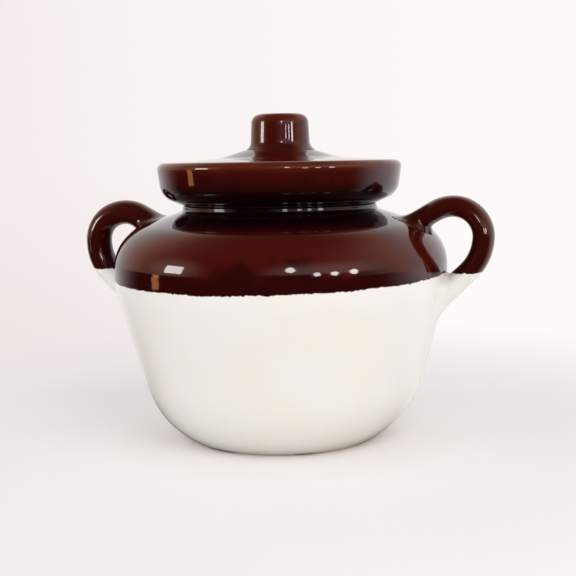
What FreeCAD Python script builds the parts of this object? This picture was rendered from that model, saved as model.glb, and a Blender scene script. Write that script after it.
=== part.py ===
import FreeCAD, Part
import math
import os

# Two-quart stoneware bean pot: a turned body, two hand-pulled side handles luted onto it, and a loose lid
# with a luted knob. Millimetres. The origin is the centre of the base on the surface it stands on, +Z is
# up, and the handles lie along +X and -X.

# Body, outside
foot_radius = 49.7
bowl_height = 32.0
flank_lean = 15.5
belly_radius = 89.0
belly_height = 86.5
belly_round = 40.0
shoulder_land = 6.5
shoulder_round = 24.0
shoulder_slope = 18.0
neck_radius = 52.0
neck_fillet = 2.2
neck_height = 3.2

# Body, inside and underneath
wall = 6.5
floor_thickness = 8.0
inner_bowl_round = 32.0
rim_bevel = 1.2
recess_depth = 1.5
foot_ring_width = 7.0
foot_ring_bevel = 2.0

# Lid
lid_seat_overhang = 0.6
lid_edge_overhang = 12.9
lid_edge_height = 17.8
lid_under_lean = 66.6
lid_under_round = 10.0
lid_side_lean = 7.5
lid_crest_height = 22.2
lid_crest_round = 3.4
lid_top_slope = 3.5
lid_flare_radius = 32.0
lid_flare_round = 36.0
knob_seat_height = 28.3
lid_thickness = 8.5
lid_ceiling_rise = 3.0
lid_ceiling_bevel = 5.0
flange_clearance = 1.5
flange_wall = 6.0
flange_depth = 7.0
flange_bevel = 1.2

# Knob
knob_foot_radius = 18.4
knob_foot_rise = 2.4
knob_foot_fillet = 5.0
knob_radius = 15.9
knob_top_radius = 15.0
knob_height = 19.6
knob_crown = 0.8
knob_top_round = 5.0

# Handles. Both were pulled by hand, so each has its own centre line. A line runs through five corners,
# each given as (out from the widest radius of the body, up from the foot of the neck), and is rounded at
# the middle three. The first and last corner lie inside the body, which the handle's ends are cut to.
handle_width = 16.0
handle_flare = 1.4
flare_length = 24.0
right_thickness = 11.2
right_corners = [(-30.8, -16.4), (-1.0, 0.9), (22.3, 2.4), (18.8, -26.3), (-16.8, -60.3)]
right_rounds = [19.5, 15.5, 26.0]
left_thickness = 13.6
left_corners = [(-29.9, -16.8), (-0.1, -0.1), (20.0, -5.9), (18.4, -29.6), (-17.3, -62.4)]
left_rounds = [18.0, 15.5, 24.0]
section_spacing = 7.5
fewest_sections = 8
places_per_section = 20

# Lengths below this count as nothing, and a whole turn is this many degrees
nothing = 1e-6
whole_turn = 360


def point(radius, height):
    return FreeCAD.Vector(radius, 0, height)


def leaning(degrees):
    """Unit direction that climbs away from the axis, leaning outwards from the vertical by this angle."""
    angle = math.radians(degrees)
    return point(math.sin(angle), math.cos(angle))


def crossing(first, first_way, second, second_way):
    """Where two lines of the section plane cross, each given by a point and a direction."""
    across = first_way.x * second_way.z - first_way.z * second_way.x
    apart = second - first
    along = (apart.x * second_way.z - apart.z * second_way.x) / across
    return first + first_way * along


def inset_corners(corners, depth):
    """Inner corners of a run of corners, with each straight leg moved to its left by the depth."""
    legs = []
    for start, end in zip(corners, corners[1:]):
        way = (end - start).normalize()
        legs.append((start + point(-way.z, way.x) * depth, way))
    return [crossing(*leg, *following) for leg, following in zip(legs, legs[1:])]


def rounded_run(corners, rounds):
    """Edges through the corners: straight runs, joined at each inner corner by a tangent arc of its round."""
    edges = []
    start = corners[0]
    for before, corner, after, radius in zip(corners, corners[1:], corners[2:], rounds):
        back = (before - corner).normalize()
        ahead = (after - corner).normalize()
        half_angle = back.getAngle(ahead) / 2
        reach = radius / math.tan(half_angle)
        first = corner + back * reach
        last = corner + ahead * reach
        if (first - start).Length > nothing:
            edges.append(Part.makeLine(start, first))
        if radius > 0:
            inward = (back + ahead).normalize()
            middle = corner + inward * (radius / math.sin(half_angle) - radius)
            edges.append(Part.Arc(first, middle, last).toShape())
        start = last
    edges.append(Part.makeLine(start, corners[-1]))
    return edges


def turned(corners, rounds):
    """Solid of revolution about the Z axis of a section whose first and last corner lie on that axis."""
    outline = Part.Wire(rounded_run(corners, rounds) + [Part.makeLine(corners[-1], corners[0])])
    return Part.Face(outline).revolve(FreeCAD.Vector(0, 0, 0), FreeCAD.Vector(0, 0, 1), whole_turn)


# Body section, from the foot up to the neck
flank_way = leaning(flank_lean)
slope_way = leaning(shoulder_slope - 90)
upright = leaning(0)

belly_corner = point(belly_radius, belly_height - belly_round * math.tan(math.radians(flank_lean / 2)))
shoulder_reach = shoulder_round * math.tan(math.radians((90 - shoulder_slope) / 2))
shoulder_corner = point(belly_radius, belly_height + shoulder_land + shoulder_reach)
neck_corner = crossing(shoulder_corner, slope_way, point(neck_radius, 0), upright)
rim_height = neck_corner.z + neck_height
mouth_radius = neck_radius - wall

# The bowl is one arc that leaves the flank smoothly and ends at the foot, so both its tangents are as long
flank_end = crossing(belly_corner, flank_way, point(0, bowl_height), point(1, 0))
foot_edge = point(foot_radius, 0)
bowl_chord = flank_end - foot_edge
bowl_reach = bowl_chord.Length**2 / (2 * bowl_chord.dot(flank_way))
bowl_corner = flank_end - flank_way * bowl_reach
bowl_turn = flank_way.getAngle(bowl_corner - foot_edge)
bowl_round = bowl_reach / math.tan(bowl_turn / 2)

outer_corners = [bowl_corner, belly_corner, shoulder_corner, neck_corner, point(neck_radius, rim_height)]
outer_rounds = [bowl_round, belly_round, shoulder_round, neck_fillet]


def pot_body():
    """Open pot of even wall, with a bevelled rim and a shallow recess inside the foot ring."""
    inner_skin = inset_corners(outer_corners, wall)
    inner_flank = inset_corners([foot_edge] + outer_corners, wall)[0]
    inner_bowl = crossing(inner_flank, flank_way, point(0, floor_thickness), point(1, 0))
    recess_radius = foot_radius - foot_ring_width
    corners = [point(0, recess_depth), point(recess_radius - foot_ring_bevel, recess_depth)]
    corners += [point(recess_radius, 0), foot_edge]
    corners += outer_corners[:-1]
    corners += [point(neck_radius, rim_height - rim_bevel), point(neck_radius - rim_bevel, rim_height)]
    corners += [point(mouth_radius + rim_bevel, rim_height), point(mouth_radius, rim_height - rim_bevel)]
    corners += inner_skin[::-1] + [inner_bowl, point(0, floor_thickness)]
    rounds = [0, 0, 0] + outer_rounds + [0, 0, 0, 0]
    rounds += [0, shoulder_round - wall, belly_round - wall, inner_bowl_round]
    return turned(corners, rounds)


def filled_body():
    """The body's outer form with no hollow, which the ends of the handles are cut to."""
    top = outer_corners[-1]
    return turned([point(0, 0), foot_edge] + outer_corners + [point(0, top.z)], [0] + outer_rounds + [0])


def handle_section(centre, way, thickness, width):
    """Oval wire across the centre line: its thickness lies in the handle's plane and its width along Y."""
    across = FreeCAD.Vector(0, 1, 0)
    half_width = across * (width / 2)
    half_thickness = way.cross(across).normalize() * (thickness / 2)
    if width >= thickness:
        oval = Part.Ellipse(centre + half_width, centre + half_thickness, centre)
    else:
        oval = Part.Ellipse(centre + half_thickness, centre - half_width, centre)
    return Part.Wire(oval.toShape())


def handle(corners, rounds, thickness):
    """Pulled handle in the +X half of the XZ plane, spreading in width towards its two pressed-on ends."""
    foot_of_neck = point(belly_radius, neck_corner.z)
    centre_line = Part.Wire(rounded_run([foot_of_neck + point(*corner) for corner in corners], rounds))
    count = max(round(centre_line.Length / section_spacing), fewest_sections)
    places = centre_line.discretize(Number=places_per_section * count + 1)
    sections = []
    for index in range(count + 1):
        at = places_per_section * index
        ahead = places[min(at + 1, len(places) - 1)]
        way = (ahead - places[max(at - 1, 0)]).normalize()
        run = centre_line.Length * index / count
        from_end = min(run, centre_line.Length - run)
        swell = 1 + (handle_flare - 1) * math.exp(-((from_end / flare_length) ** 2))
        sections.append(handle_section(places[at], way, thickness, handle_width * swell))
    return Part.makeLoft(sections, True, False).cut(filled_body())


def outermost(shape):
    """The one solid of a cut shape that reaches furthest from the axis."""
    return max(shape.Solids, key=lambda solid: solid.BoundBox.XMax)


def lid():
    """Lid whose ledge rests on the rim, with a flange that drops into the mouth and a hollow underside."""
    seat = point(neck_radius + lid_seat_overhang, rim_height)
    edge = point(neck_radius + lid_edge_overhang, rim_height + lid_edge_height)
    side_way = leaning(lid_side_lean)
    under_corner = crossing(seat, leaning(lid_under_lean), edge, side_way)
    top_way = leaning(lid_top_slope - 90)
    crest = point(edge.x, rim_height + lid_crest_height)
    crest_corner = crossing(crest, top_way, edge, side_way)
    flare_corner = crossing(crest, top_way, point(lid_flare_radius, 0), upright)
    flange_outer = mouth_radius - flange_clearance
    flange_inner = flange_outer - flange_wall
    flange_bottom = rim_height - flange_depth
    bevel_top = flange_bottom + flange_bevel
    ceiling = rim_height + lid_crest_height - lid_thickness
    top = rim_height + knob_seat_height
    corners = [point(0, ceiling + lid_ceiling_rise), point(flange_inner - lid_ceiling_bevel, ceiling)]
    corners += [point(flange_inner, ceiling - lid_ceiling_bevel)]
    corners += [point(flange_inner, bevel_top), point(flange_inner + flange_bevel, flange_bottom)]
    corners += [point(flange_outer - flange_bevel, flange_bottom), point(flange_outer, bevel_top)]
    corners += [point(flange_outer, rim_height), seat, under_corner, crest_corner, flare_corner]
    corners += [point(knob_foot_radius, top), point(0, top)]
    rounds = [0] * 8 + [lid_under_round, lid_crest_round, lid_flare_round, 0]
    return turned(corners, rounds)


def lid_knob():
    """Knob luted onto the flat seat at the middle of the lid: a spread foot, a slight taper, a soft top."""
    base = rim_height + knob_seat_height
    shoulder = base + knob_height - knob_crown
    corners = [point(0, base), point(knob_foot_radius, base), point(knob_radius, base + knob_foot_rise)]
    corners += [point(knob_top_radius, shoulder), point(0, base + knob_height)]
    return turned(corners, [0, knob_foot_fillet, knob_top_round])


def main():
    right = outermost(handle(right_corners, right_rounds, right_thickness))
    left = outermost(handle(left_corners, left_rounds, left_thickness))
    left.rotate(FreeCAD.Vector(0, 0, 0), FreeCAD.Vector(0, 0, 1), whole_turn / 2)
    pieces = {
        "pot_body": pot_body(),
        "handle_right": right,
        "handle_left": left,
        "lid": lid(),
        "lid_knob": lid_knob(),
    }
    os.makedirs("parts", exist_ok=True)
    for name, shape in pieces.items():
        shape.exportStep(f"parts/{name}.step")
        box = shape.optimalBoundingBox()
        spans = f"X {box.XMin:.2f} {box.XMax:.2f}  Z {box.ZMin:.2f} {box.ZMax:.2f}"
        print(f"{name}: {shape.ShapeType}, valid {shape.isValid()}, {shape.Volume / 1000:.1f} cm3, {spans}")


main()
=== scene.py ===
import math

import bpy
import numpy as np
from mathutils import Matrix, Vector, noise


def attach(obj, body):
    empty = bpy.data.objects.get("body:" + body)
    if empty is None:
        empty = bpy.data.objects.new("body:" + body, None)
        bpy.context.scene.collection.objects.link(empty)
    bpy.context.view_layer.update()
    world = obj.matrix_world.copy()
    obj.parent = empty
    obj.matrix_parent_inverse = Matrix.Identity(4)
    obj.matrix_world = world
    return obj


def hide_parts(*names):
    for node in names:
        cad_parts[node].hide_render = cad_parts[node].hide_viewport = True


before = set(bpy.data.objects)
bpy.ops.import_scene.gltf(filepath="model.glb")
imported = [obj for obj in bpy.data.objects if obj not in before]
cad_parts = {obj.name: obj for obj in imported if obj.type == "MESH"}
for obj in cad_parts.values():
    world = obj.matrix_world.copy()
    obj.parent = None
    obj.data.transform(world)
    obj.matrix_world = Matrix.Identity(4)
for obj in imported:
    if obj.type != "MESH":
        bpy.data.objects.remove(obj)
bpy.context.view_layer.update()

# Stoneware bean pot, dipped in brown glaze over cream. Forms are in millimetres, as on the drawing, and
# turn into metres when a mesh is made.
MM = 0.001

# The way to the photograph's right, in the pot's frame
picture_right = Vector((0.951, 0.309, 0))

# Body, outside
foot_radius = 49.7
bowl_height = 32.0
flank_lean = 15.5
belly_radius = 89.0
belly_height = 86.5
belly_round = 40.0
shoulder_land = 6.5
shoulder_round = 24.0
shoulder_slope = 18.0
neck_radius = 52.0
neck_fillet = 2.2
neck_height = 3.2

# Body, inside and underneath
wall = 6.5
floor_thickness = 8.0
inner_bowl_round = 32.0
inner_neck_round = 3.0
rim_round = 1.5
recess_depth = 1.5
recess_round = 1.0
foot_ring_width = 7.0
foot_ring_slant = 2.0
foot_edge_round = 1.6

# Lid
lid_seat_overhang = 0.6
lid_edge_overhang = 12.9
lid_edge_height = 17.8
lid_under_lean = 66.6
lid_under_round = 10.0
lid_side_lean = 7.5
lid_crest_height = 22.2
lid_crest_round = 3.4
lid_top_slope = 3.5
lid_flare_radius = 32.0
lid_flare_round = 36.0
knob_seat_height = 28.3
lid_thickness = 8.5
lid_ceiling_rise = 3.0
lid_ceiling_bevel = 5.0
lid_ceiling_round = 3.0
lid_bevel_round = 2.5
lid_seat_round = 1.5
knob_seat_round = 0.5
flange_clearance = 1.5
flange_wall = 6.0
flange_depth = 7.0
flange_round = 1.6
flange_root_round = 0.8

# Knob
knob_foot_radius = 18.4
knob_foot_rise = 2.4
knob_foot_fillet = 5.0
knob_radius = 15.9
knob_top_radius = 15.0
knob_height = 19.6
knob_crown = 0.8
knob_top_round = 5.0
knob_sunk = 0.6

# Handles: centre-line corners are (out from the widest radius, up from the foot of the neck)
handle_width = 16.0
handle_flare = 1.4
flare_length = 24.0
right_thickness = 11.2
right_corners = [(-30.8, -16.4), (-1.0, 0.9), (22.3, 2.4), (18.8, -26.3), (-16.8, -60.3)]
right_rounds = [19.5, 15.5, 26.0]
left_thickness = 13.6
left_corners = [(-29.9, -16.8), (-0.1, -0.1), (20.0, -5.9), (18.4, -29.6), (-17.3, -62.4)]
left_rounds = [18.0, 15.5, 24.0]
luting_fillet = 5.0
luting_depth = 2.5
luting_fade_depth = 0.6 * luting_fillet
luting_halvings = 24

# How fine the meshes are
turn_segments = 288
profile_step = 1.8
arc_step = math.radians(4)
skin_step = 1.5
ring_points = 56
ring_spacing = 1.2
doubled_gap = 1e-4

# Hand-made unevenness of the clay: how far the skin wanders and over what length, where the knob sits, and
# how far the bowl leans to the photograph's right. The lean sets in over the first pair of heights, and the
# second pair holds where it is over and where it is still full.
clay_wander = 0.22
clay_wander_length = 38.0
knob_off_centre = Vector((0.75, 0.25, 0))
bowl_lean = 1.0
lean_start = (0, 28)
lean_end = (86, 32)

# Glaze runs thin where the clay bends outwards: the reach of that, and the bends (1/mm) at which it starts
# and is complete
thin_spread = 1.3
thin_from = 0.07
thin_full = 0.26

# The same on a handle: its share on the flanks and round its outer side, and how narrow those bands are
handle_thin_flank = 0.1
handle_thin_outside = 0.75
handle_thin_power = 6


def smooth_step(value, low, high):
    """0 at low and beyond it, 1 at high and beyond it, eased between. Either limit may be the larger."""
    share = min(max((value - low) / (high - low), 0), 1)
    return share * share * (3 - 2 * share)


# Section helpers, all in the plane of (radius, height)

def leaning(degrees):
    """Unit direction that climbs away from the axis, leaning outwards from the vertical by this angle."""
    angle = math.radians(degrees)
    return Vector((math.sin(angle), math.cos(angle)))


def crossing(first, first_way, second, second_way):
    """Where two lines cross, each given by a point and a direction."""
    across = first_way.x * second_way.y - first_way.y * second_way.x
    apart = second - first
    along = (apart.x * second_way.y - apart.y * second_way.x) / across
    return first + first_way * along


def inset_corners(corners, depth):
    """Inner corners of a run of corners, with each straight leg moved to its left by the depth."""
    legs = []
    for start, end in zip(corners, corners[1:]):
        way = (end - start).normalized()
        legs.append((start + Vector((-way.y, way.x)) * depth, way))
    return [crossing(*leg, *following) for leg, following in zip(legs, legs[1:])]


def rounded(corners, rounds):
    """Points through the corners, with each inner corner rounded by a tangent arc of its radius."""
    points = [Vector(corners[0])]
    for before, corner, after, radius in zip(corners, corners[1:], corners[2:], rounds):
        before, corner, after = Vector(before), Vector(corner), Vector(after)
        if radius <= 0:
            points.append(corner)
            continue
        back = (before - corner).normalized()
        ahead = (after - corner).normalized()
        half_angle = back.angle(ahead) / 2
        inward = (back + ahead).normalized()
        centre = corner + inward * (radius / math.sin(half_angle))
        first = corner + back * (radius / math.tan(half_angle)) - centre
        turn = math.pi - 2 * half_angle
        if first.x * back.y - first.y * back.x > 0:
            turn = -turn
        steps = max(2, math.ceil(abs(turn) / arc_step))
        for index in range(steps + 1):
            angle = turn * index / steps
            cosine, sine = math.cos(angle), math.sin(angle)
            points.append(centre + Vector((first.x * cosine - first.y * sine,
                                           first.x * sine + first.y * cosine)))
    points.append(Vector(corners[-1]))
    return points


def evened(points, step):
    """Points at an even spacing, close to the step, along a run, and how far along each one is."""
    lengths = [0.0]
    for start, end in zip(points, points[1:]):
        lengths.append(lengths[-1] + (end - start).length)
    stations = np.linspace(0, lengths[-1], round(lengths[-1] / step) + 1)
    across = np.interp(stations, lengths, [point.x for point in points])
    up = np.interp(stations, lengths, [point.y for point in points])
    return [Vector(place) for place in zip(across, up)], stations


def divided(points, step):
    """The same run with no leg longer than the step, and no doubled point."""
    run = [points[0]]
    for point in points[1:]:
        gap = point - run[-1]
        count = math.ceil(gap.length / step)
        if gap.length < doubled_gap:
            continue
        run += [run[-1] + gap * (index / count) for index in range(1, count + 1)]
    return run


# The body's outer section, from the foot up to the rim

flank_way = leaning(flank_lean)
slope_way = leaning(shoulder_slope - 90)
upright = leaning(0)
level = Vector((1, 0))

belly_corner = Vector((belly_radius, belly_height - belly_round * math.tan(math.radians(flank_lean / 2))))
shoulder_reach = shoulder_round * math.tan(math.radians((90 - shoulder_slope) / 2))
shoulder_corner = Vector((belly_radius, belly_height + shoulder_land + shoulder_reach))
neck_corner = crossing(shoulder_corner, slope_way, Vector((neck_radius, 0)), upright)
rim_height = neck_corner.y + neck_height
mouth_radius = neck_radius - wall

flank_end = crossing(belly_corner, flank_way, Vector((0, bowl_height)), level)
foot_edge = Vector((foot_radius, 0))
bowl_chord = flank_end - foot_edge
bowl_reach = bowl_chord.length_squared / (2 * bowl_chord.dot(flank_way))
bowl_corner = flank_end - flank_way * bowl_reach
bowl_turn = flank_way.angle(bowl_corner - foot_edge)
bowl_round = bowl_reach / math.tan(bowl_turn / 2)

outer_corners = [bowl_corner, belly_corner, shoulder_corner, neck_corner, Vector((neck_radius, rim_height))]
outer_rounds = [bowl_round, belly_round, shoulder_round, neck_fillet]


def body_section():
    """Corners and rounds of the body's whole section, from the axis underneath to the axis inside."""
    inner_skin = inset_corners(outer_corners, wall)
    inner_flank = inset_corners([foot_edge] + outer_corners, wall)[0]
    inner_bowl = crossing(inner_flank, flank_way, Vector((0, floor_thickness)), level)
    recess_radius = foot_radius - foot_ring_width
    corners = [Vector((0, recess_depth)), Vector((recess_radius - foot_ring_slant, recess_depth))]
    corners += [Vector((recess_radius, 0)), foot_edge] + outer_corners
    corners += [Vector((mouth_radius, rim_height))]
    corners += inner_skin[::-1] + [inner_bowl, Vector((0, floor_thickness))]
    rounds = [recess_round, recess_round, foot_edge_round] + outer_rounds + [rim_round, rim_round]
    rounds += [inner_neck_round, shoulder_round - wall, belly_round - wall, inner_bowl_round]
    return corners, rounds


def lid_section():
    """Corners and rounds of the lid's section, from the axis of its hollow to the seat of the knob."""
    seat = Vector((neck_radius + lid_seat_overhang, rim_height))
    edge = Vector((neck_radius + lid_edge_overhang, rim_height + lid_edge_height))
    side_way = leaning(lid_side_lean)
    under_corner = crossing(seat, leaning(lid_under_lean), edge, side_way)
    top_way = leaning(lid_top_slope - 90)
    crest = Vector((edge.x, rim_height + lid_crest_height))
    crest_corner = crossing(crest, top_way, edge, side_way)
    flare_corner = crossing(crest, top_way, Vector((lid_flare_radius, 0)), upright)
    flange_outer = mouth_radius - flange_clearance
    flange_inner = flange_outer - flange_wall
    flange_bottom = rim_height - flange_depth
    ceiling = rim_height + lid_crest_height - lid_thickness
    top = rim_height + knob_seat_height
    corners = [Vector((0, ceiling + lid_ceiling_rise)), Vector((flange_inner - lid_ceiling_bevel, ceiling))]
    corners += [Vector((flange_inner, ceiling - lid_ceiling_bevel)), Vector((flange_inner, flange_bottom))]
    corners += [Vector((flange_outer, flange_bottom)), Vector((flange_outer, rim_height))]
    corners += [seat, under_corner, crest_corner, flare_corner]
    corners += [Vector((knob_foot_radius, top)), Vector((0, top))]
    rounds = [lid_ceiling_round, lid_bevel_round, flange_round, flange_round, flange_root_round]
    rounds += [lid_seat_round, lid_under_round, lid_crest_round, lid_flare_round, knob_seat_round]
    return corners, rounds


def knob_section():
    """Corners and rounds of the knob's section, from under its foot to its crown."""
    base = rim_height + knob_seat_height
    shoulder = base + knob_height - knob_crown
    corners = [Vector((0, base - knob_sunk)), Vector((knob_foot_radius + knob_sunk, base - knob_sunk))]
    corners += [Vector((knob_radius, base + knob_foot_rise)), Vector((knob_top_radius, shoulder))]
    corners += [Vector((0, base + knob_height))]
    return corners, [0, knob_foot_fillet, knob_top_round]


# Meshes

def wandered(place, away):
    """A point of the skin, moved along its own outward direction as uneven clay would be.

    The bowl also leans a little to one side between the foot and the belly."""
    shift = clay_wander * noise.noise(place / clay_wander_length)
    leant = bowl_lean * smooth_step(place.z, *lean_start) * smooth_step(place.z, *lean_end)
    return place + away * shift + picture_right * leant


def make_piece(name, places, faces, marks):
    """Smooth mesh object from points in millimetres, with a named number on each point for each mark."""
    mesh = bpy.data.meshes.new(name)
    mesh.from_pydata([place * MM for place in places], [], faces)
    for mark, values in marks.items():
        mesh.attributes.new(mark, "FLOAT", "POINT").data.foreach_set("value", values)
    mesh.shade_smooth()
    mesh.validate()
    piece = bpy.data.objects.new(name, mesh)
    bpy.context.scene.collection.objects.link(piece)
    return piece


def thinned(run):
    """How thin the glaze lies at each point of a section: 1 on sharp outward bends, 0 elsewhere."""
    places = np.array([(point.x, point.y) for point in run])
    legs = np.diff(places, axis=0)
    ways = np.arctan2(legs[:, 1], legs[:, 0])
    turns = (np.diff(ways) + np.pi) % (2 * np.pi) - np.pi
    along = np.concatenate([[0], np.cumsum(np.hypot(legs[:, 0], legs[:, 1]))])
    apart = (along[:, None] - along[None, 1:-1]) / thin_spread
    bends = (np.exp(-(apart**2) / 2) * turns).sum(1) / (thin_spread * math.sqrt(2 * math.pi))
    return np.clip((bends - thin_from) / (thin_full - thin_from), 0, 1)


def turned(name, section, mark_of, off_centre=Vector((0, 0, 0))):
    """Piece turned about the axis. mark_of gives the marks of a section point, as a dictionary.

    Its first two points are the poles, at the ends of the section, and the rings follow."""
    run = divided(rounded(*section), profile_step)
    thin = thinned(run)
    first, last = run[0], run[-1]
    rings = run[1:-1]
    places = [Vector((0, 0, first.y)) + off_centre, Vector((0, 0, last.y)) + off_centre]
    marks = {mark: [value, mark_of(last)[mark]] for mark, value in mark_of(first).items()}
    marks["thin"] = [0.0, 0.0]
    for at, ring in enumerate(rings):
        along = (run[at + 2] - run[at]).normalized()
        outward = Vector((along.y, -along.x))
        for index in range(turn_segments):
            angle = 2 * math.pi * index / turn_segments
            cosine, sine = math.cos(angle), math.sin(angle)
            place = Vector((ring.x * cosine, ring.x * sine, ring.y)) + off_centre
            away = Vector((outward.x * cosine, outward.x * sine, 0))
            places.append(wandered(place, away))
        for mark, value in mark_of(ring).items():
            marks[mark] += [value] * turn_segments
        marks["thin"] += [thin[at + 1]] * turn_segments
    poles = 2
    last_ring = poles + (len(rings) - 1) * turn_segments
    faces = []
    for index in range(turn_segments):
        after = (index + 1) % turn_segments
        faces.append((0, poles + after, poles + index))
        for lower in range(poles, last_ring, turn_segments):
            upper = lower + turn_segments
            faces.append((lower + index, lower + after, upper + after, upper + index))
        faces.append((1, last_ring + index, last_ring + after))
    return make_piece(name, places, faces, marks)


# The skin that the handles are pressed onto

skin_run = divided(rounded([foot_edge] + outer_corners, outer_rounds), skin_step)
skin_points = np.array([tuple(point) for point in skin_run])
skin_starts = skin_points[:-1]
skin_legs = skin_points[1:] - skin_starts


def skin_gaps(places):
    """Distance of each point outside the body's skin, negative inside it, and the way straight out of it."""
    radius = np.hypot(places[:, 0], places[:, 1])
    here = np.stack([radius, places[:, 2]], axis=1)[:, None]
    share = ((here - skin_starts) * skin_legs).sum(2) / (skin_legs**2).sum(1)
    apart = here - skin_starts - skin_legs * np.clip(share, 0, 1)[..., None]
    distance = np.hypot(apart[..., 0], apart[..., 1])
    leg = distance.argmin(axis=1)
    rows = np.arange(len(places))
    outward = np.stack([skin_legs[leg, 1], -skin_legs[leg, 0]], axis=1)
    outward /= np.hypot(outward[:, 0], outward[:, 1])[:, None]
    side = np.where((apart[rows, leg] * outward).sum(1) >= 0, 1, -1)
    flat = places[:, :2] / radius[:, None] * outward[:, :1]
    return distance[rows, leg] * side, np.concatenate([flat, outward[:, 1:]], axis=1)


def blended(first, second):
    """Distance from two joined forms, with the corner between them filled by a soft fillet."""
    shared = np.maximum(luting_fillet - np.abs(first - second), 0)
    return np.minimum(first, second) - shared**2 / (4 * luting_fillet)


def luted(places, away):
    """Skin points of a handle, swelled into a fillet near the body and sunk into it past that.

    Also gives how far each point was from the body's skin before."""
    gaps, skin_out = skin_gaps(places)
    leaning_out = (away * skin_out).sum(1)
    low = np.zeros(len(places))
    high = np.full(len(places), luting_fillet)
    for _ in range(luting_halvings):
        middle = (low + high) / 2
        inside = blended(middle, gaps + leaning_out * middle) < 0
        low = np.where(inside, middle, low)
        high = np.where(inside, high, middle)
    swell = np.where(gaps < luting_fillet, low, 0)
    deep = np.clip((-gaps - luting_fade_depth) / luting_fillet, 0, 1)
    places = places + away * (swell * (1 - deep))[:, None]
    settled, skin_out = skin_gaps(places)
    sunk = np.maximum(-luting_depth - settled, 0)
    return places + skin_out * sunk[:, None], gaps


def strap_rings(line, lengths, angles, thickness):
    """Oval rings round a centre line, flared at both ends, and the way straight out of each point."""
    across = np.array((0, 1.0, 0))
    places, away = [], []
    for index, centre in enumerate(line):
        way = (line[min(index + 1, len(line) - 1)] - line[max(index - 1, 0)]).normalized()
        out = np.array((-way.y, 0, way.x))
        from_end = min(lengths[index], lengths[-1] - lengths[index])
        swell = 1 + (handle_flare - 1) * math.exp(-((from_end / flare_length) ** 2))
        half = np.array((thickness, handle_width * swell)) / 2
        places.append(np.array((centre.x, 0, centre.y)) + np.outer(np.cos(angles) * half[0], out)
                      + np.outer(np.sin(angles) * half[1], across))
        ways = np.outer(np.cos(angles) / half[0], out) + np.outer(np.sin(angles) / half[1], across)
        away.append(ways / np.linalg.norm(ways, axis=1)[:, None])
    return np.concatenate(places), np.concatenate(away)


def pulled_handle(name, corners, rounds, thickness, side):
    """Pulled handle swept round its centre line, smoothed into the body where it is luted on.

    side is 1 for the handle on +X and -1 for the one on -X."""
    foot_of_neck = Vector((belly_radius, neck_corner.y))
    centre_line = rounded([foot_of_neck + Vector(corner) for corner in corners], rounds)
    line, lengths = evened(centre_line, ring_spacing)
    angles = np.linspace(0, 2 * np.pi, ring_points, endpoint=False)
    places, away = strap_rings(line, lengths, angles, thickness)
    places, gaps = luted(places, away)
    highest = gaps.reshape(-1, ring_points).max(axis=1)
    shown = np.nonzero(highest > -luting_depth - luting_fillet)[0]
    kept = slice(max(shown[0] - 1, 0) * ring_points, (shown[-1] + 2) * ring_points)
    places = [wandered(Vector(place), Vector(way)) for place, way in zip(places[kept], away[kept])]
    places = [Vector((place.x * side, place.y * side, place.z)) for place in places]
    faces = []
    for near in range(0, len(places) - ring_points, ring_points):
        far = near + ring_points
        for count in range(ring_points):
            after = (count + 1) % ring_points
            faces.append((near + count, far + count, far + after, near + after))
    faces.append(tuple(range(ring_points)))
    faces.append(tuple(range(len(places) - ring_points, len(places)))[::-1])
    flanks = np.sin(angles) ** handle_thin_power
    outside = np.clip(np.cos(angles), 0, 1) ** handle_thin_power
    ring_thin = handle_thin_flank * flanks + handle_thin_outside * outside
    marks = {"bare": [0.0] * len(places), "inner": [0.0] * len(places)}
    marks["thin"] = list(np.tile(ring_thin, len(places) // ring_points))
    return make_piece(name, places, faces, marks)


# Marks: bare is unglazed clay, inner is the glaze inside the pot. Each pair holds where a mark is 0 and where
# it is 1, with a soft edge between. On the axis itself the way out of the skin has no direction, so a point
# there is taken a little off it.

bare_foot_heights = (1.4, 0.4)
bare_foot_radii = (foot_radius + 4, foot_radius + 2)
bare_recess_height = recess_depth + 0.1
bare_rim_heights = (rim_height - 0.8, rim_height - 0.1)
bare_rim_radii = (51.2, 50.6)
bare_seat_radii = (51.8, 51.0)
bare_seat_height = rim_height + 0.5
inner_depths = (wall * 0.6, wall * 0.8)
inner_heights = (rim_height - 3.5, rim_height - 5)
least_radius = 0.01


def body_marks(point):
    """Bare on the foot ring, in the recess and on the rim, and inner from just below the rim."""
    foot = smooth_step(point.y, *bare_foot_heights) * smooth_step(point.x, *bare_foot_radii)
    recess = 1.0 if point.y <= bare_recess_height and point.x < foot_radius else 0.0
    rim = smooth_step(point.y, *bare_rim_heights) * smooth_step(point.x, *bare_rim_radii)
    depth = -skin_gaps(np.array([(max(point.x, least_radius), 0, point.y)]))[0][0]
    inner = smooth_step(depth, *inner_depths) * smooth_step(point.y, *inner_heights)
    return {"bare": max(foot, recess, rim), "inner": inner}


def lid_marks(point):
    """Bare on the seat and the flange, and up the hollow as far as the seat's height."""
    seat = smooth_step(point.x, *bare_seat_radii) if point.y < bare_seat_height else 0.0
    return {"bare": seat, "inner": 0.0}


def knob_marks(point):
    """Glazed all over."""
    return {"bare": 0.0, "inner": 0.0}


# Pieces

pot = turned("stoneware_body", body_section(), body_marks)
lid = turned("stoneware_lid", lid_section(), lid_marks)
knob = turned("stoneware_knob", knob_section(), knob_marks, knob_off_centre)
handle_right = pulled_handle("pulled_handle_right", right_corners, right_rounds, right_thickness, 1)
handle_left = pulled_handle("pulled_handle_left", left_corners, left_rounds, left_thickness, -1)

for piece, body, node, slot in (
    (pot, "pot", "pot_body", "dipped_glaze"),
    (handle_right, "pot", "handle_right", "dipped_glaze"),
    (handle_left, "pot", "handle_left", "dipped_glaze"),
    (lid, "lid", "lid", "brown_glaze"),
    (knob, "lid", "lid_knob", "brown_glaze"),
):
    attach(piece, body)
    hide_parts(node)


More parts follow.
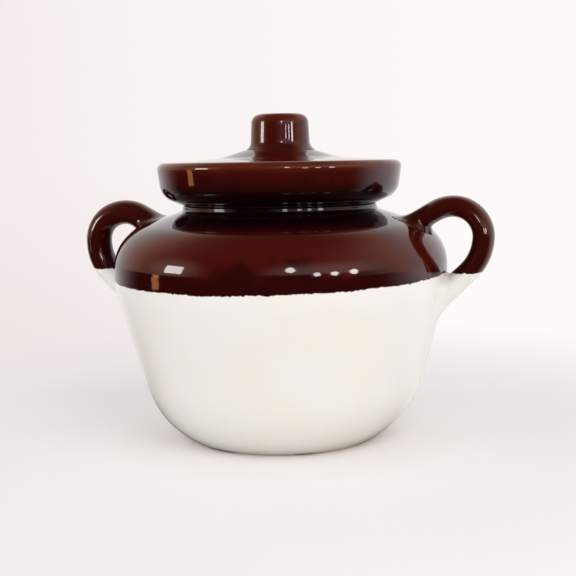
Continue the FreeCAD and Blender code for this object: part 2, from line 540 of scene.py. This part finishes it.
# Materials

brown_deep = (0.022, 0.0014, 0.0016, 1)
brown_warm = (0.052, 0.0042, 0.0026, 1)
brown_thin = (0.100, 0.020, 0.008, 1)
# Near-black brown: painted shade where the lid shades the shoulder round the neck, the lid's underside and
# the knob's foot
brown_painted_shade = (0.0055, 0.0008, 0.0009, 1)
cream_plain = (0.788, 0.771, 0.737, 1)
cream_warm = (0.790, 0.756, 0.698, 1)
bare_clay = (0.480, 0.350, 0.235, 1)
dark_clay = (0.360, 0.240, 0.150, 1)
glaze_ior = 1.5
glaze_roughness = 0.06
clay_roughness = 0.75
bump_strength = 0.6

# The dip line at the axis, how it rises per millimetre along X and along Y, and how much higher it sits on
# each handle
dip_height = 88.6
dip_rise_x = 0.0066
dip_rise_y = 0.0316
right_dip_offset = 0.5
left_dip_offset = 1.8

# Noises in the glaze and clay: scale per metre, detail and, where it isn't plain, roughness
pooling_noise = (40, 3)
speck_noise = (900, 2)
wave_noise = (45, 2)
ragged_noise = (560, 4, 0.65)
cream_noise = (30, 4)
clay_noise = (500, 4)
ripple_noise = (110, 2)

# What the noises do, in metres: they shift the edge of the deep brown, bend and fray the dip line (with what
# they add to it on average), and raise the skin
gathered_shift = 0.03
dip_wave = 0.0016
dip_fray = 0.0025
dip_mean_shift = 0.0021
dip_softness = 0.0002
dip_step = 0.00025
ripple_rise = 0.00012
speck_rise = 0.000006

# Soft edges, as Nodes.span takes them: where noise lets the thin glaze show and how much, where the cream is
# warm, and the edge of the bare clay
thin_patches = (0.3, 0.6, 0.25, 0.85)
warm_patches = (0.4, 0.7)
bare_edge = (0.3, 0.7)


class Nodes:
    """Short ways to add shader nodes to one node tree."""

    def __init__(self, tree):
        self.tree = tree
        tree.nodes.clear()

    def add(self, kind, **settings):
        node = self.tree.nodes.new(kind)
        for key, value in settings.items():
            setattr(node, key, value)
        return node

    def feed(self, socket, value):
        if isinstance(value, bpy.types.NodeSocket):
            self.tree.links.new(value, socket)
        else:
            socket.default_value = value

    def parts(self, vector):
        """The x, y and z of a vector."""
        node = self.add("ShaderNodeSeparateXYZ")
        self.feed(node.inputs[0], vector)
        return node.outputs

    def vectors(self, operation, *values):
        """A vector node; its outputs are "Vector" and "Value"."""
        node = self.add("ShaderNodeVectorMath", operation=operation)
        for socket, value in zip(node.inputs, values):
            self.feed(socket, value)
        return node.outputs

    def math(self, operation, *values):
        node = self.add("ShaderNodeMath", operation=operation)
        for socket, value in zip(node.inputs, values):
            self.feed(socket, value)
        return node.outputs[0]

    def mix(self, share, first, second):
        """Colour that is the first at share 0 and the second at share 1."""
        node = self.add("ShaderNodeMix", data_type="RGBA")
        self.feed(node.inputs["Factor"], share)
        self.feed(node.inputs[6], first)
        self.feed(node.inputs[7], second)
        return node.outputs[2]

    def noise(self, vector, scale, detail=2.0, roughness=0.5):
        node = self.add("ShaderNodeTexNoise")
        self.feed(node.inputs["Vector"], vector)
        node.inputs["Scale"].default_value = scale
        node.inputs["Detail"].default_value = detail
        node.inputs["Roughness"].default_value = roughness
        return node.outputs["Fac"]

    def span(self, value, low, high, to_low=0.0, to_high=1.0):
        """A value that runs from to_low at low to to_high at high, with soft ends. low is the smaller."""
        node = self.add("ShaderNodeMapRange", interpolation_type="SMOOTHSTEP")
        self.feed(node.inputs["Value"], value)
        for key, limit in (("From Min", low), ("From Max", high), ("To Min", to_low), ("To Max", to_high)):
            node.inputs[key].default_value = limit
        return node.outputs["Result"]

    def mark(self, name):
        """A mark that the mesh carries on its points."""
        return self.add("ShaderNodeAttribute", attribute_name=name).outputs["Fac"]


def glazed(name, gathered, painted_shade_heights=None, dip_offset=None):
    """Glossy stoneware glaze. With a dip offset it is brown above the dip line and cream below it.

    gathered holds two heights: the brown is deep below the first, where it ran together, and plain above the
    second. The next pair of heights is painted shade: the brown is plain at the first and almost black at the
    second, which may be above or below. This darkens the glaze in the hollows under the lid's edge, on the
    shoulder round the neck and at the knob's foot."""
    material = bpy.data.materials.new(name)
    material.use_nodes = True
    nodes = Nodes(material.node_tree)
    where = nodes.add("ShaderNodeTexCoord").outputs["Object"]
    along_x, along_y, height = nodes.parts(where)
    bare = nodes.mark("bare")

    pooling = nodes.noise(where, *pooling_noise)
    shifted = nodes.math("MULTIPLY_ADD", nodes.math("SUBTRACT", pooling, 0.5), gathered_shift, height)
    brown = nodes.mix(nodes.span(shifted, gathered[0] * MM, gathered[1] * MM), brown_deep, brown_warm)
    thin = nodes.math("MULTIPLY", nodes.mark("thin"), nodes.span(pooling, *thin_patches))
    brown = nodes.mix(thin, brown, brown_thin)
    # Painted shade: between the two heights the brown turns almost black under the lid's edge, round the
    # neck's foot and at the knob's foot
    if painted_shade_heights:
        plain_at, black_at = painted_shade_heights
        if plain_at < black_at:
            painted_shade_share = nodes.span(height, plain_at * MM, black_at * MM)
        else:
            painted_shade_share = nodes.span(height, black_at * MM, plain_at * MM, 1.0, 0.0)
        brown = nodes.mix(painted_shade_share, brown, brown_painted_shade)

    relief = nodes.math("MULTIPLY", nodes.noise(where, *ripple_noise), ripple_rise)
    relief = nodes.math("MULTIPLY_ADD", nodes.noise(where, *speck_noise), speck_rise, relief)
    colour = brown
    if dip_offset is not None:
        rise = nodes.math("MULTIPLY_ADD", along_x, -dip_rise_x, height)
        rise = nodes.math("MULTIPLY_ADD", along_y, -dip_rise_y, rise)
        rise = nodes.math("MULTIPLY_ADD", nodes.noise(where, *wave_noise), dip_wave, rise)
        rise = nodes.math("MULTIPLY_ADD", nodes.noise(where, *ragged_noise), dip_fray, rise)
        line = (dip_height + dip_offset) * MM + dip_mean_shift
        dipped = nodes.span(rise, line - dip_softness, line + dip_softness)
        dipped = nodes.math("MULTIPLY", dipped, nodes.math("SUBTRACT", 1.0, nodes.mark("inner")))
        warm = nodes.span(nodes.noise(where, *cream_noise), *warm_patches)
        colour = nodes.mix(dipped, nodes.mix(warm, cream_plain, cream_warm), brown)
        relief = nodes.math("ADD", relief, nodes.math("MULTIPLY", dipped, dip_step))
    clay = nodes.mix(nodes.noise(where, *clay_noise), dark_clay, bare_clay)
    colour = nodes.mix(bare, colour, clay)

    shader = nodes.add("ShaderNodeBsdfPrincipled")
    shader.inputs["IOR"].default_value = glaze_ior
    nodes.feed(shader.inputs["Base Color"], colour)
    nodes.feed(shader.inputs["Roughness"], nodes.span(bare, *bare_edge, glaze_roughness, clay_roughness))
    bump = nodes.add("ShaderNodeBump")
    bump.inputs["Distance"].default_value = 1.0
    bump.inputs["Strength"].default_value = bump_strength
    nodes.feed(bump.inputs["Height"], relief)
    nodes.feed(shader.inputs["Normal"], bump.outputs[0])
    output = nodes.add("ShaderNodeOutputMaterial")
    nodes.feed(output.inputs["Surface"], shader.outputs[0])
    return material


# The second pair of heights given to the body, lid and knob places the painted shade under the lid and at the
# knob's foot
for piece, material in (
    (pot, glazed("dipped_body", gathered=(92, 101), painted_shade_heights=(110, 119), dip_offset=0.0)),
    (handle_right, glazed("dipped_handle_right", gathered=(98, 142), dip_offset=right_dip_offset)),
    (handle_left, glazed("dipped_handle_left", gathered=(98, 142), dip_offset=left_dip_offset)),
    (lid, glazed("brown_lid", gathered=(130, 148), painted_shade_heights=(138, 131))),
    (knob, glazed("brown_knob", gathered=(150, 160), painted_shade_heights=(156, 153))),
):
    piece.data.materials.append(material)


# Floor and surroundings

pale_left = (0.870, 0.790, 0.780, 1)
pale_right = (0.985, 0.955, 0.945, 1)
backdrop_spread = (-0.6, 0.3)
floor_colour = (0.975, 0.935, 0.925, 1)
floor_light = (0.985, 0.955, 0.945, 1)
floor_noise = (14, 3)
floor_half = 12.0

# Distances from the pot between which the floor fades into the backdrop
floor_fade = (0.14, 0.45)

# Light that reaches the clay from all round
even_light = (0.70, 0.695, 0.70, 1)

# The room as the glaze mirrors it: dim in front of the pot, warm to its sides and pale behind it, and dim
# overhead. Its pairs and fours, and those of the glows, are limits for Nodes.span.
dim_side = (0.012, 0.010, 0.010, 1)
warm_side = (1.9, 1.08, 0.74, 1)
pale_side = (1.05, 1.00, 0.99, 1)
behind_way = (0.024, 1.059, 0)
room_behind = (-0.75, 1.0)
floor_behind = (-0.1, 0.6)
overhead = (0.6, 1.0, 1.0, 0.05)
warm_to_pale = (0.35, 0.95)

# A band of light in front to the right, above the lamps: its colour, way, spread, foot and soft top
front_glow_colour = (1.15, 0.85, 0.80, 1)
front_glow_way = (0.80, -0.60, 0)
front_glow_spread = (0.55, 0.95)
front_glow_foot = (0.10, 0.17)
front_glow_top = (0.28, 0.68, 1.0, 0.0)

# A patch of light round the window on the left: its colour, way and reach
left_glow_colour = (1.6, 1.0, 0.75, 1)
left_glow_way = (-0.85, -0.50, 0.18)
left_glow_reach = (0.10, 0.50, 0.8, 0.0)

floor_mesh = bpy.data.meshes.new("floor")
floor_corners = [(x * floor_half, y * floor_half, 0) for x, y in ((-1, -1), (1, -1), (1, 1), (-1, 1))]
floor_mesh.from_pydata(floor_corners, [], [(0, 1, 2, 3)])
floor = bpy.data.objects.new("floor", floor_mesh)
bpy.context.scene.collection.objects.link(floor)


def backdrop(nodes, toward):
    """Pale colour of the backdrop in one direction, a little brighter on the photograph's right."""
    sideways = nodes.vectors("DOT_PRODUCT", toward, picture_right)["Value"]
    return nodes.mix(nodes.span(sideways, *backdrop_spread), pale_left, pale_right)


def behind(nodes, toward, limits):
    """How far one direction is behind the pot, as the glaze mirrors it: 0 in front and 1 behind."""
    return nodes.span(nodes.vectors("DOT_PRODUCT", toward, behind_way)["Value"], *limits)


def floor_material():
    """Pale tabletop. Away from the pot it fades into the backdrop where a camera or the gloss sees it, and in
    front of the pot the gloss mirrors it dim."""
    material = bpy.data.materials.new("pale_floor")
    material.use_nodes = True
    nodes = Nodes(material.node_tree)
    where = nodes.add("ShaderNodeTexCoord").outputs["Object"]
    way = nodes.vectors("NORMALIZE", where)["Vector"]
    path = nodes.add("ShaderNodeLightPath")

    plain = nodes.add("ShaderNodeBsdfDiffuse")
    nodes.feed(plain.inputs["Color"], nodes.mix(nodes.noise(where, *floor_noise), floor_colour, floor_light))
    glow = nodes.add("ShaderNodeEmission")
    nodes.feed(glow.inputs["Color"], backdrop(nodes, way))
    seen = nodes.math("MAXIMUM", path.outputs["Is Camera Ray"], path.outputs["Is Glossy Ray"])
    seen = nodes.math("MAXIMUM", seen, path.outputs["Is Transmission Ray"])
    far = nodes.span(nodes.vectors("LENGTH", where)["Value"], *floor_fade)
    faded = nodes.add("ShaderNodeMixShader")
    nodes.feed(faded.inputs[0], nodes.math("MULTIPLY", far, seen))
    nodes.feed(faded.inputs[1], plain.outputs[0])
    nodes.feed(faded.inputs[2], glow.outputs[0])

    dark = nodes.add("ShaderNodeEmission")
    dark.inputs["Color"].default_value = dim_side
    in_front = nodes.math("SUBTRACT", 1.0, behind(nodes, way, floor_behind))
    mirrored = nodes.add("ShaderNodeMixShader")
    nodes.feed(mirrored.inputs[0], nodes.math("MULTIPLY", in_front, path.outputs["Is Glossy Ray"]))
    nodes.feed(mirrored.inputs[1], faded.outputs[0])
    nodes.feed(mirrored.inputs[2], dark.outputs[0])
    output = nodes.add("ShaderNodeOutputMaterial")
    nodes.feed(output.inputs["Surface"], mirrored.outputs[0])
    return material


floor_mesh.materials.append(floor_material())


def front_glow(nodes, toward):
    """Share of the front glow in one direction."""
    height = nodes.parts(toward)[2]
    near = nodes.span(nodes.vectors("DOT_PRODUCT", toward, front_glow_way)["Value"], *front_glow_spread)
    band = nodes.math("MULTIPLY", nodes.span(height, *front_glow_foot), nodes.span(height, *front_glow_top))
    return nodes.math("MULTIPLY", band, near)


def left_glow(nodes, toward):
    """Share of the left glow in one direction."""
    return nodes.span(nodes.vectors("DISTANCE", toward, left_glow_way)["Value"], *left_glow_reach)


def surroundings():
    """Pale room: even soft light on the clay, a backdrop to look at, and a room for the glaze to mirror."""
    world = bpy.data.worlds.new("pale_room")
    world.use_nodes = True
    bpy.context.scene.world = world
    nodes = Nodes(world.node_tree)
    toward = nodes.add("ShaderNodeTexCoord").outputs["Generated"]
    path = nodes.add("ShaderNodeLightPath")

    below = nodes.span(nodes.parts(toward)[2], *overhead)
    share = nodes.math("MULTIPLY", behind(nodes, toward, room_behind), below)
    room = nodes.mix(nodes.span(share, *warm_to_pale), warm_side, pale_side)
    mirrored = nodes.mix(share, dim_side, room)
    mirrored = nodes.mix(front_glow(nodes, toward), mirrored, front_glow_colour)
    mirrored = nodes.mix(left_glow(nodes, toward), mirrored, left_glow_colour)

    unseen = nodes.mix(path.outputs["Is Glossy Ray"], even_light, mirrored)
    seen = nodes.math("MAXIMUM", path.outputs["Is Camera Ray"], path.outputs["Is Transmission Ray"])
    background = nodes.add("ShaderNodeBackground")
    nodes.feed(background.inputs["Color"], nodes.mix(seen, unseen, backdrop(nodes, toward)))
    output = nodes.add("ShaderNodeOutputWorld")
    nodes.feed(output.inputs["Surface"], background.outputs[0])


surroundings()


# Lights: where, how large and how strong, all aimed at the middle of the pot

lamp_aim = Vector((0, 0, 0.07))
white = (1.0, 1.0, 1.0)
amber_low = (1.0, 0.40, 0.14)
amber_near = (1.0, 0.36, 0.12)


def soft_light(name, place, size, energy, mirrored_as=None, tint=white):
    """Area light. With a shape to be mirrored as, only the glaze shows it; with none, it only lights."""
    lamp = bpy.data.lights.new(name, "AREA")
    lamp.shape = mirrored_as or "RECTANGLE"
    lamp.size, lamp.size_y = size
    lamp.energy = energy
    lamp.color = tint
    light = bpy.data.objects.new(name, lamp)
    light.location = place
    light.rotation_euler = (lamp_aim - Vector(place)).to_track_quat("-Z", "Y").to_euler()
    light.visible_glossy = mirrored_as is not None
    light.visible_diffuse = mirrored_as is None
    light.visible_camera = False
    bpy.context.scene.collection.objects.link(light)


soft_light("key_right", (1.1, -0.9, 1.3), (1.2, 1.2), 6.6)
soft_light("fill_left", (-1.2, -0.8, 0.9), (1.2, 1.2), 2.6)
soft_light("fill_low", (0.45, -1.35, 0.13), (2.0, 0.24), 6.0)
soft_light("fill_low_left", (-1.35, -0.45, 0.13), (1.6, 0.24), 2.5)
soft_light("fill_low_right", (1.35, 0.45, 0.13), (1.6, 0.24), 3.5)
soft_light("window_left", (-1.03, -0.71, 0.33), (0.30, 0.28), 3.2, "RECTANGLE")
soft_light("window_left_low", (-1.15, -0.42, 0.03), (0.12, 0.10), 0.20, "RECTANGLE", amber_low)
soft_light("window_left_near", (-0.587, -0.238, 0.030), (0.07, 0.04), 0.035, "RECTANGLE", amber_near)
soft_light("lamp_front", (0.51, -1.12, 0.475), (0.14, 0.26), 1.3, "ELLIPSE")
soft_light("lamp_right_1", (0.84, -0.96, 0.235), (0.11, 0.18), 0.7, "ELLIPSE")
soft_light("lamp_right_2", (1.02, -0.77, 0.235), (0.11, 0.18), 0.8, "ELLIPSE")
soft_light("lamp_right_3", (1.16, -0.51, 0.27), (0.14, 0.22), 1.3, "ELLIPSE")


# Camera, at the photograph's angle

camera_place = Vector((0.1947, -0.5874, 0.1501))
camera_azimuth = math.radians(18.0)
camera_pitch = math.radians(6.5)
camera_roll = math.radians(-1.0)
sensor_width = 36.0
focal_pixels = 1150
picture_pixels = 576

camera_data = bpy.data.cameras.new("camera")
camera_data.sensor_width = sensor_width
camera_data.lens = focal_pixels / picture_pixels * sensor_width
camera = bpy.data.objects.new("camera", camera_data)
turn = Matrix.Rotation(camera_azimuth, 4, "Z") @ Matrix.Rotation(math.pi / 2 - camera_pitch, 4, "X")
camera.matrix_world = Matrix.Translation(camera_place) @ turn @ Matrix.Rotation(camera_roll, 4, "Z")
bpy.context.scene.collection.objects.link(camera)
bpy.context.scene.camera = camera
bpy.context.scene.view_settings.view_transform = "Standard"
